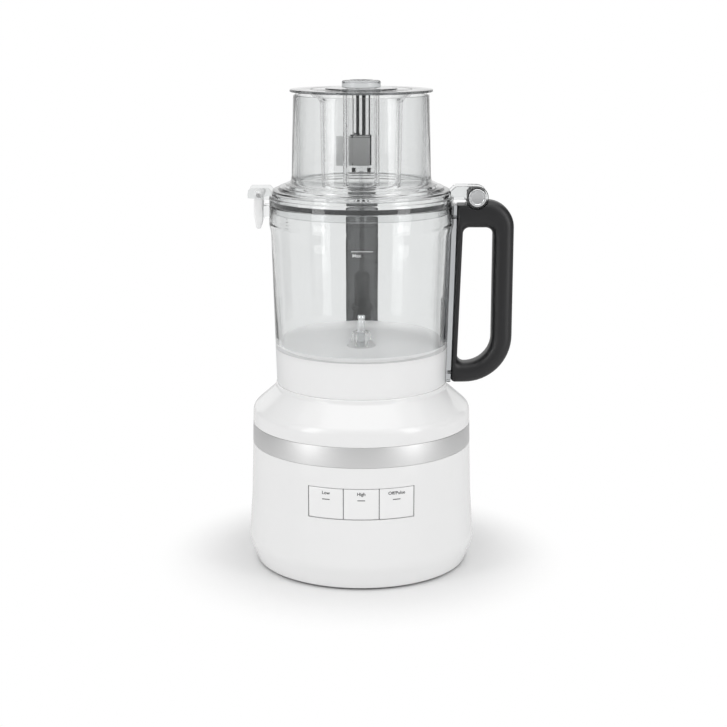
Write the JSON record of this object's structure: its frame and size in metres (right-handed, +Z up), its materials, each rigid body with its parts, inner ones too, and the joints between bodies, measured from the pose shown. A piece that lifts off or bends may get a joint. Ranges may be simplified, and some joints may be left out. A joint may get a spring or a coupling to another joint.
{
  "type": "food processor",
  "caption": "Upright kitchen food processor: round white base with press buttons, clear locking bowl with side handle, hinged lid with wide feed chute and nested pushers.",
  "frame": {"origin": "centre of the drive spindle's axis on the plane that the rubber foot stands on", "axes": "+Z up along the drive spindle; -Y towards the buttons; +X towards the handle"},
  "size_m": [0.2466, 0.2195, 0.45],
  "materials": {
    "white_shell": "gloss moulded",
    "band": "satin, circumferential brushing",
    "white_parts": "satin moulded",
    "clear": "clear polished",
    "smoked": "smoked clear",
    "black_handle": "matte moulded",
    "dark_plastic": "fine matte",
    "rubber_dark": "matte",
    "seal_grey": "matte",
    "steel": "ground",
    "polished_steel": "polished",
    "copper": "enamelled wire",
    "laminations": "stamped",
    "board": "solder mask",
    "aluminium_cast": "as cast"
  },
  "bodies": {
    "base": {"base_housing": "white_shell", "trim_band": "band", "control_board": "board", "board_carrier": "white_parts", "button_switches": "dark_plastic", "bottom_cover": "dark_plastic", "rubber_foot": "rubber_dark", "bottom_screws": "steel", "cord_gland": "rubber_dark", "motor_stator": "laminations", "field_coils": "copper", "lower_bracket": "aluminium_cast", "upper_bracket": "aluminium_cast", "motor_cradle": "dark_plastic", "motor_bearings": "steel", "brush_holders": "dark_plastic", "drive_belt": "rubber_dark", "spindle_housing": "aluminium_cast", "spindle_bearings": "steel", "shaft_seal": "rubber_dark", "interlock_switch": "dark_plastic"},
    "low_button": {"button_low": "white_shell"},
    "high_button": {"button_high": "white_shell"},
    "off_pulse_button": {"button_off_pulse": "white_shell"},
    "rotor": {"rotor_core": "laminations", "commutator": "copper", "motor_shaft": "steel", "cooling_fan": "dark_plastic", "motor_pulley": "steel"},
    "spindle": {"drive_spindle": "polished_steel", "large_pulley": "dark_plastic"},
    "bowl": {"work_bowl": "clear", "rear_column": "smoked", "rod_spring": "steel", "handle": "black_handle", "handle_rail": "clear", "handle_screws": "steel", "hinge_pin": "polished_steel", "hinge_caps": "polished_steel"},
    "rod": {"interlock_rod": "dark_plastic", "push_pin": "smoked"},
    "lid": {"lid": "clear", "lid_seal": "seal_grey", "catch_pin": "polished_steel"},
    "catch": {"catch": "white_parts"},
    "slider": {"interlock_slider": "white_parts", "interlock_arm": "clear"},
    "large_pusher": {"large_pusher": "smoked", "pusher_flange": "smoked"},
    "medium_pusher": {"medium_pusher": "smoked", "medium_cap": "smoked"},
    "small_pusher": {"small_pusher": "clear", "small_knob": "clear"}
  },
  "joints": [
    {"name": "low_press", "type": "slide", "parent": "base", "child": "low_button", "axis": [0, 1, 0], "range_m": [0, 0.0016], "stiffness_N_per_m": 700, "springref_m": -0.0008},
    {"name": "high_press", "type": "slide", "parent": "base", "child": "high_button", "axis": [0, 1, 0], "range_m": [0, 0.0016], "stiffness_N_per_m": 700, "springref_m": -0.0008},
    {"name": "off_pulse_press", "type": "slide", "parent": "base", "child": "off_pulse_button", "axis": [0, 1, 0], "range_m": [0, 0.0016], "stiffness_N_per_m": 700, "springref_m": -0.0008},
    {"name": "spindle_spin", "type": "hinge", "parent": "base", "child": "spindle", "pos_m": [0, 0, 0.1], "axis": [0, 0, 1], "continuous": true},
    {"name": "motor_spin", "type": "hinge", "parent": "base", "child": "rotor", "pos_m": [0, 0.054, 0.1], "axis": [0, 0, 1], "continuous": true},
    {"name": "bowl_lift", "type": "slide", "parent": "base", "child": "bowl", "axis": [0, 0, 1], "range_m": [0, 0.08]},
    {"name": "rod_press", "type": "slide", "parent": "bowl", "child": "rod", "axis": [0, 0, 1], "range_m": [-0.004, 0], "stiffness_N_per_m": 450, "springref_m": 0.003, "deforming": ["rod_spring"]},
    {"name": "lid_hinge", "type": "hinge", "parent": "bowl", "child": "lid", "pos_m": [0.1055, 0, 0.345], "axis": [0, 1, 0], "range_deg": [0, 95]},
    {"name": "catch_swing", "type": "hinge", "parent": "lid", "child": "catch", "pos_m": [-0.0935, 0, 0.3475], "axis": [0, 1, 0], "range_deg": [0, 70]},
    {"name": "slider_press", "type": "slide", "parent": "lid", "child": "slider", "axis": [0, 0, 1], "range_m": [-0.004, 0]},
    {"name": "large_pusher_lift", "type": "slide", "parent": "lid", "child": "large_pusher", "axis": [0, 0, 1], "range_m": [0, 0.11]},
    {"name": "medium_pusher_lift", "type": "slide", "parent": "large_pusher", "child": "medium_pusher", "axis": [0, 0, 1], "range_m": [0, 0.1]},
    {"name": "small_pusher_lift", "type": "slide", "parent": "medium_pusher", "child": "small_pusher", "axis": [0, 0, 1], "range_m": [0, 0.1]}
  ],
  "couplings": [
    {"joint": "motor_spin", "follows": "spindle_spin", "ratio": 4},
    {"joint": "rod_press", "follows": "slider_press", "ratio": 1}
  ]
}
